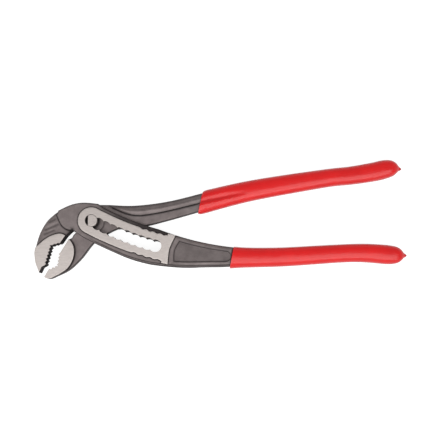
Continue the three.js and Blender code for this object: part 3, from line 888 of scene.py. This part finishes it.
def grip(name, line, slant, width, swell, soft, crease, body, node_name):
    """A dipped sleeve along a line. Its lip swells out and is softly rounded, and it ends in a nib."""
    points = spline(line, 600)
    lengths = np.concatenate([[0], np.cumsum(np.hypot(*np.diff(points, axis=0).T))])
    total = lengths[-1]
    dome_start = total - GRIP_END[0][0]
    halves = [*np.linspace(width, GRIP_WAIST, 4) / 2, GRIP_BULB / 2]
    widths = spline(list(enumerate(halves)), WIDTH_STEPS)[:, 1]
    ahead = np.gradient(points, lengths, axis=0)
    turns = 2 * math.pi * np.arange(GRIP_SIDES) / GRIP_SIDES
    slope = math.tan(math.radians(slant))
    stations = []
    lip_places = np.linspace(0, LIP_LENGTH, LIP_RINGS)
    for d in [*lip_places, *np.linspace(BODY_START, dome_start, BODY_RINGS)]:
        lip = swell * math.exp(-d / SWELL_LENGTH) - soft * math.exp(-d / soft)
        half = widths[int(WIDTH_STEPS * d / dome_start)] + lip
        stations.append((d, half, GRIP_THICKNESS / 2 + SWELL_RISE * lip))
    for from_tip, half in spline(GRIP_END, END_RINGS)[1:]:
        flat = np.interp(half, [NIB_HALF, GRIP_BULB / 2], [1, GRIP_THICKNESS / GRIP_BULB])
        stations.append((total - from_tip, half, half * flat))
    lip_rings = [(0, stations[0][1] - inset, stations[0][2] - inset) for inset in LIP_INSETS]
    verts, shades = [], []
    for d, half, thick in [*lip_rings, *stations]:
        across = half * squared(np.cos(turns))
        up = thick * squared(np.sin(turns))
        from_fold = across - FOLD_PLACE + FOLD_DRIFT * d
        fading = crease * np.clip((FOLD_END - d) / FOLD_FADE, 0, 1)
        sides = soft_line(from_fold, *FOLD_UPPER), soft_line(from_fold, *FOLD_LOWER)
        fold = fading * np.where(from_fold > 0, *sides)
        up -= FOLD_DEPTH * np.sign(up) * np.minimum(fold, np.abs(up))
        # Painted shade in the fold and along the sides; the lip's first stretch and the nib are darkened
        # too.
        end = LIP_DARK * (d < LIP_EDGE) + NIB_DARK * (d > total - NIB_LENGTH)
        side = SIDE_SHADE * np.cos(turns) ** SIDE_POWER
        shades.append(np.max([FOLD_SHADE * fading * soft_line(from_fold, *FOLD_LINE), side + end], 0))
        reach = d + across * slope * max(0, 1 - d / SLANT_LENGTH)
        x, y = (np.interp(reach, lengths, points[:, k]) + np.minimum(reach, 0) * ahead[0, k] for k in (0, 1))
        ax, ay = (np.interp(reach, lengths, ahead[:, k]) for k in (0, 1))
        verts.append(np.column_stack([x - ay * across, y + ax * across, up]))
    faces = tube_faces(len(verts), GRIP_SIDES)
    looks = np.zeros(len(faces), int)
    piece = make_mesh(name, np.concatenate(verts), faces, [DIPPED], looks, body)
    paint_shade(piece, np.concatenate(shades), "POINT")
    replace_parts(piece, node_name)


grip(
    "upper_dipped_grip", UPPER_GRIP_LINE, UPPER_LIP_SLANT, UPPER_GRIP_WIDTH,
    swell=0.2, soft=1.1, crease=1, body="inner_leg", node_name="upper_grip",
)
grip(
    "lower_dipped_grip", LOWER_GRIP_LINE, LOWER_LIP_SLANT, LOWER_GRIP_WIDTH,
    swell=0.8, soft=0.4, crease=0, body="slotted_leg", node_name="lower_grip",
)

# Camera at the photograph's viewing angle.
PIXEL = 0.674  # millimetres a pixel on the ground plate
PIXELS = 440
SENSOR = 36
CAMERA = Vector((86.9, -66, 635)) / 1000
TARGET = Vector((86.9, 0.3, 15)) / 1000
camera = bpy.data.objects.new("camera", bpy.data.cameras.new("camera"))
bpy.context.collection.objects.link(camera)
back = (CAMERA - TARGET).normalized()
right = Vector((1, 0, 0))
right = (right - back * right.dot(back)).normalized()
facing = Matrix((right, back.cross(right), back)).transposed()
camera.matrix_world = Matrix.Translation(CAMERA) @ facing.to_4x4()
camera.data.sensor_width = SENSOR
camera.data.lens = SENSOR * (CAMERA - TARGET).length / (PIXELS * PIXEL / 1000)
camera.data.clip_start = 0.01
bpy.context.scene.camera = camera

# Studio, in metres.
WORLD_LIGHT = 0.4
FLOOR_REACH = 10
FLOOR_DROP = 0.0002
FLOOR_GREY = 0.35
FLOOR_GLOW = 0.9
WHITE = (1, 1, 1, 1)


def floor():
    """A pale floor that takes the tool's shadow, and looks white itself."""
    corners = [(-1, -1), (1, -1), (1, 1), (-1, 1)]
    mesh = bpy.data.meshes.new("floor")
    verts = [(x * FLOOR_REACH, y * FLOOR_REACH, -FLOOR_DROP) for x, y in corners]
    mesh.from_pydata(verts, [], [(0, 1, 2, 3)])
    made = bpy.data.objects.new("floor", mesh)
    bpy.context.collection.objects.link(made)
    paper, tree, shader = material("paper")
    tree.nodes.remove(shader)
    matte = node(tree, "ShaderNodeBsdfDiffuse", {"Color": (FLOOR_GREY, FLOOR_GREY, FLOOR_GREY, 1)})
    rays = node(tree, "ShaderNodeLightPath").outputs
    seen = combine(tree, "MAXIMUM", rays["Is Camera Ray"], rays["Is Glossy Ray"])
    seen = combine(tree, "MAXIMUM", seen, rays["Is Transmission Ray"])
    level = combine(tree, "MULTIPLY", seen, FLOOR_GLOW)
    glow = node(tree, "ShaderNodeEmission", {"Color": WHITE, "Strength": level})
    both = node(tree, "ShaderNodeAddShader", {0: matte.outputs[0], 1: glow.outputs[0]})
    tree.links.new(both.outputs[0], tree.nodes["Material Output"].inputs["Surface"])
    mesh.materials.append(paper)


def softbox(name, place, aim, size, power):
    lamp = bpy.data.lights.new(name, "AREA")
    lamp.shape = "RECTANGLE"
    lamp.size, lamp.size_y = size
    lamp.energy = power
    made = bpy.data.objects.new(name, lamp)
    bpy.context.collection.objects.link(made)
    made.location = place
    made.rotation_euler = (Vector(aim) - Vector(place)).to_track_quat("-Z", "Y").to_euler()


def surround():
    """White to the camera, pale at the front and the horizon in reflections, and dimmer as light."""
    world = bpy.data.worlds.new("studio")
    world.use_nodes = True
    tree = world.node_tree
    rays = node(tree, "ShaderNodeLightPath").outputs
    toward = node(tree, "ShaderNodeTexCoord").outputs["Generated"]
    axes = node(tree, "ShaderNodeSeparateXYZ", {"Vector": toward}).outputs
    horizon = spread(tree, axes["Z"], 0.8, 0.25, start=0.35, end=0.8)
    front = spread(tree, axes["Y"], 1, 0, start=-0.6, end=-0.2)
    around = combine(tree, "MAXIMUM", horizon, front)
    mirrored = combine(tree, "MULTIPLY", around, rays["Is Glossy Ray"])
    seen = combine(tree, "MAXIMUM", rays["Is Camera Ray"], rays["Is Transmission Ray"])
    seen = combine(tree, "MAXIMUM", seen, mirrored)
    level = combine(tree, "MAXIMUM", seen, WORLD_LIGHT)
    tree.links.new(level, tree.nodes["Background"].inputs["Strength"])
    tree.nodes["Background"].inputs["Color"].default_value = WHITE
    bpy.context.scene.world = world


floor()
softbox("key", place=(0.09, -0.45, 1.1), aim=(0.09, 0, 0), size=(1.8, 1.0), power=10.5)
softbox("fill", place=(-0.5, -0.75, 0.4), aim=(0.05, 0, 0), size=(0.9, 0.4), power=2)
surround()
bpy.context.scene.view_settings.view_transform = "Standard"
